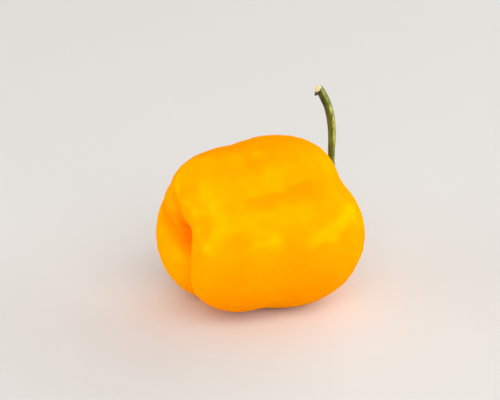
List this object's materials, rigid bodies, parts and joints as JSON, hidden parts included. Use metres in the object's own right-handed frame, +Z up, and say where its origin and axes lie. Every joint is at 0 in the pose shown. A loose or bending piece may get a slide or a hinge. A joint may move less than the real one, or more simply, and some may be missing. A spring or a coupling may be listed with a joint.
{
  "type": "rocoto pepper",
  "caption": "Blocky, lobed ripe pepper lying on its side, with creases drawn in at the blossom end, a small toothed calyx and a slim curved stem with a torn tip.",
  "frame": {"origin": "on the surface that the pepper lies on, under the middle of the whole pepper's box", "axes": "+Z up; the camera side is -Y; the fruit's long axis runs from the blossom end at -X to the stem end, turned 29 degrees back from +X towards +Y and 5 degrees up"},
  "size_m": [0.0752, 0.0705, 0.0756],
  "materials": {
    "ripe_skin": "waxy gloss, warm orange-yellow, deeper orange in the creases",
    "calyx_green": "matt leafy green",
    "stem_green": "satin olive green with ridges, brown flecks and a cream and brown torn tip"
  },
  "bodies": {
    "root": {"fruit": "ripe_skin", "calyx": "calyx_green", "stem": "stem_green"}
  },
  "joints": []
}
